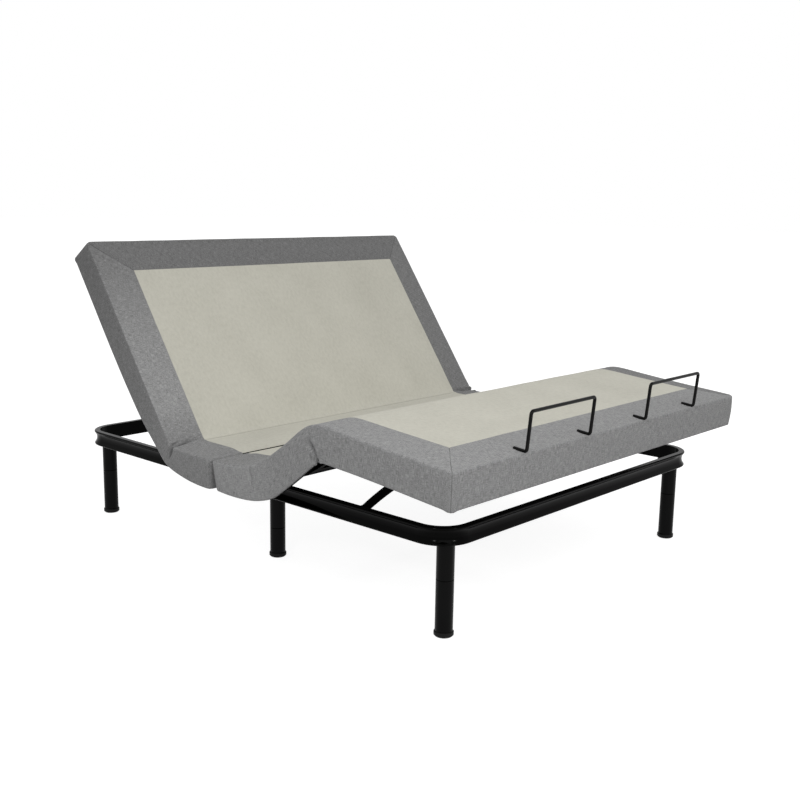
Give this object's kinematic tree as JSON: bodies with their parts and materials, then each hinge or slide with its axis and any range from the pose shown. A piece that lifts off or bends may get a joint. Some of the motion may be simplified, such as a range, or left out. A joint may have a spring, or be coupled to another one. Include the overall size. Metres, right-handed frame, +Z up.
{
  "type": "adjustable bed base",
  "caption": "Padded adjustable bed base with raised back and bent knee sections on a black rail frame with round legs and mattress retainer bars.",
  "frame": {"origin": "on the floor, under the middle of the whole box in the raised pose", "axes": "+X across the bed to the right seen from the foot, +Y along the bed towards the head, +Z up"},
  "size_m": [1.5242, 1.832, 0.9988],
  "materials": {
    "rail_black": "gloss black paint",
    "leg_black": "satin black paint",
    "frame_black": "satin black paint",
    "bar_black": "satin black paint",
    "cap_black": "matte moulded",
    "case_black": "matte moulded",
    "board_wood": "black-faced plywood",
    "pad_fabric": "felt and woven cover",
    "skirt_fabric": "heathered woven cover",
    "pin_steel": "bright",
    "bumper_rubber": "matte"
  },
  "bodies": {
    "base": {"head_half_rail": "rail_black", "foot_half_rail": "rail_black", "centre_tubes": "frame_black", "centre_joint_plates": "frame_black", "joint_bolts": "pin_steel", "corner_leg_plates": "frame_black", "rail_bumpers": "bumper_rubber", "leg_head_left": "leg_black", "leg_head_right": "leg_black", "leg_middle_left": "leg_black", "leg_middle_right": "leg_black", "leg_foot_left": "leg_black", "leg_foot_right": "leg_black", "foot_caps": "cap_black", "seat_cross_tubes": "frame_black", "seat_spacers": "case_black", "hinge_pins": "pin_steel", "link_posts": "frame_black", "seat_head_board": "board_wood", "seat_foot_board": "board_wood", "seat_head_pad": "pad_fabric", "seat_foot_pad": "pad_fabric", "seat_head_skirts": "skirt_fabric", "seat_foot_skirts": "skirt_fabric", "head_drive_gearbox": "case_black", "head_drive_sleeve": "frame_black", "foot_drive_gearbox": "case_black", "foot_drive_sleeve": "frame_black", "drive_anchors": "frame_black", "anchor_pins": "pin_steel", "control_box": "case_black", "power_inlet": "case_black"},
    "back": {"back_board": "board_wood", "back_pad": "pad_fabric", "back_side_skirts": "skirt_fabric", "back_head_skirt": "skirt_fabric", "back_side_tubes": "frame_black", "back_cross_tubes": "frame_black", "back_lever": "frame_black"},
    "thigh": {"thigh_board": "board_wood", "thigh_pad": "pad_fabric", "thigh_skirts": "skirt_fabric", "thigh_side_tubes": "frame_black", "thigh_cross_tube": "frame_black", "thigh_lever": "frame_black", "knee_pins": "pin_steel"},
    "foot": {"foot_board": "board_wood", "foot_pad": "pad_fabric", "foot_side_skirts": "skirt_fabric", "foot_end_skirt": "skirt_fabric", "foot_side_tubes": "frame_black", "foot_cross_tube": "frame_black", "retainer_bar_left": "bar_black", "retainer_bar_right": "bar_black"},
    "link_left": {"link_arm_left": "frame_black"},
    "link_right": {"link_arm_right": "frame_black"},
    "head_rod": {"head_drive_rod": "pin_steel"},
    "foot_rod": {"foot_drive_rod": "pin_steel"}
  },
  "joints": [
    {"name": "back_lift", "type": "hinge", "parent": "base", "child": "back", "pos_m": [0, 0.26654, 0.355], "axis": [1, 0, 0], "range_deg": [-54.6, 5.4]},
    {"name": "thigh_lift", "type": "hinge", "parent": "base", "child": "thigh", "pos_m": [0, -0.15746, 0.355], "axis": [-1, 0, 0], "range_deg": [-32, 8]},
    {"name": "knee_fold", "type": "hinge", "parent": "thigh", "child": "foot", "pos_m": [0, -0.44156, 0.53252], "axis": [1, 0, 0], "range_deg": [-37.5, 9.45]},
    {"name": "link_left_swing", "type": "hinge", "parent": "base", "child": "link_left", "pos_m": [-0.599, -0.44046, 0.284], "axis": [-1, 0, 0], "range_deg": [-33.2, 8.5]},
    {"name": "link_right_swing", "type": "hinge", "parent": "base", "child": "link_right", "pos_m": [0.599, -0.44046, 0.284], "axis": [-1, 0, 0], "range_deg": [-33.2, 8.5]},
    {"name": "head_rod_slide", "type": "slide", "parent": "base", "child": "head_rod", "axis": [0, 1, 0], "range_m": [-0.1152, 0.0116]},
    {"name": "foot_rod_slide", "type": "slide", "parent": "base", "child": "foot_rod", "axis": [0, -1, 0], "range_m": [-0.0648, 0.0163]}
  ],
  "couplings": [
    {"joint": "knee_fold", "follows": "thigh_lift", "ratio": 1.1687},
    {"joint": "link_left_swing", "follows": "thigh_lift", "ratio": 1.0251},
    {"joint": "link_right_swing", "follows": "thigh_lift", "ratio": 1.0251},
    {"joint": "head_rod_slide", "follows": "back_lift", "m_per_rad": 0.1206},
    {"joint": "foot_rod_slide", "follows": "thigh_lift", "m_per_rad": 0.1156}
  ]
}
